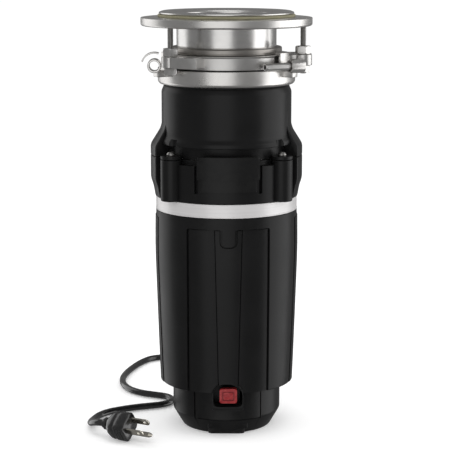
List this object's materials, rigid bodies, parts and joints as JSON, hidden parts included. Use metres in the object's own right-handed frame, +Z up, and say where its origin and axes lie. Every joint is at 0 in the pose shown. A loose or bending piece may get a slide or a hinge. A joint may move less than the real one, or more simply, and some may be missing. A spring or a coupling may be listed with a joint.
{
  "type": "kitchen garbage disposal",
  "caption": "Slim upright kitchen waste disposer with a twist-lock sink mount, bolted grind chamber, motor shell, reset button and grounded power cord.",
  "frame": {"origin": "centre of the base boss's underside, on the motor's axis, where the object stands", "axes": "+Z up along the motor's axis to the sink flange, -Y to the front with the reset button, +Y to the drain and the cord's exit"},
  "size_m": [0.202, 0.2977, 0.3813],
  "materials": {
    "brushed_steel": "brushed stainless and zinc-plated steel",
    "dark_steel": "dark plated or phosphated steel",
    "black_plastic": "satin black moulded plastic",
    "black_rubber": "matte black rubber",
    "gasket_fibre": "olive fibre gasket, matte",
    "red_plastic": "red translucent-looking button",
    "copper": "copper windings, commutator and brushes",
    "trim_band": "satin silver trim foil",
    "cord_jacket": "semi-gloss black cord jacket",
    "nickel": "nickel-plated brass prongs"
  },
  "bodies": {
    "housing": {"sink_flange": "brushed_steel", "sink_gasket": "gasket_fibre", "backup_ring": "brushed_steel", "upper_mounting_ring": "brushed_steel", "collar_seal": "black_rubber", "snap_ring": "dark_steel", "mounting_gasket": "black_rubber", "splash_guard": "black_rubber", "canister": "black_plastic", "joint_housing": "black_plastic", "discharge_outlet": "black_plastic", "chamber_liner": "brushed_steel", "grind_ring": "dark_steel", "chamber_base": "dark_steel", "lower_bearing": "dark_steel", "upper_bearing": "dark_steel", "shaft_seal": "black_rubber", "motor_can": "dark_steel", "magnet_1": "dark_steel", "magnet_2": "dark_steel", "brush_1": "copper", "brush_2": "copper", "silver_band": "trim_band", "motor_skirt": "black_plastic", "lower_cap": "black_plastic", "overload_protector": "black_plastic", "strain_relief": "black_rubber", "cord_lead": "cord_jacket", "cord_run": "cord_jacket", "cord_coil": "cord_jacket", "plug_body": "black_rubber", "plug_blade_1": "nickel", "plug_blade_2": "nickel", "ground_pin": "nickel", "stud_1": "dark_steel", "clamp_nut_1": "brushed_steel", "lock_nut_1": "brushed_steel", "foot_1": "black_rubber", "stud_2": "dark_steel", "clamp_nut_2": "brushed_steel", "lock_nut_2": "brushed_steel", "foot_2": "black_rubber", "stud_3": "dark_steel", "clamp_nut_3": "brushed_steel", "lock_nut_3": "brushed_steel", "foot_3": "black_rubber", "joint_screw_1": "brushed_steel", "joint_screw_2": "brushed_steel", "joint_screw_3": "brushed_steel", "joint_screw_4": "brushed_steel"},
    "rotor": {"shaft": "dark_steel", "armature": "copper", "commutator": "copper", "turntable": "brushed_steel", "turntable_nut": "brushed_steel"},
    "impeller_1": {"impeller_1": "brushed_steel"},
    "impeller_2": {"impeller_2": "brushed_steel"},
    "reset_button": {"reset_button": "red_plastic"},
    "twist_lock": {"lock_ring": "brushed_steel", "ear_pin": "brushed_steel"}
  },
  "joints": [
    {"name": "rotor_spin", "type": "hinge", "parent": "housing", "child": "rotor", "pos_m": [0, 0, 0.13], "axis": [0, 0, 1], "continuous": true},
    {"name": "impeller_1_swivel", "type": "hinge", "parent": "rotor", "child": "impeller_1", "pos_m": [0.032, 0, 0.263], "axis": [0, 0, 1], "continuous": true},
    {"name": "impeller_2_swivel", "type": "hinge", "parent": "rotor", "child": "impeller_2", "pos_m": [-0.032, 0, 0.263], "axis": [0, 0, 1], "continuous": true},
    {"name": "reset_press", "type": "slide", "parent": "housing", "child": "reset_button", "axis": [0, 1, 0], "range_m": [0, 0.0025], "stiffness_N_per_m": 800},
    {"name": "twist_lock_turn", "type": "hinge", "parent": "housing", "child": "twist_lock", "pos_m": [0, 0, 0.325], "axis": [0, 0, 1], "range_deg": [-40, 0]}
  ]
}
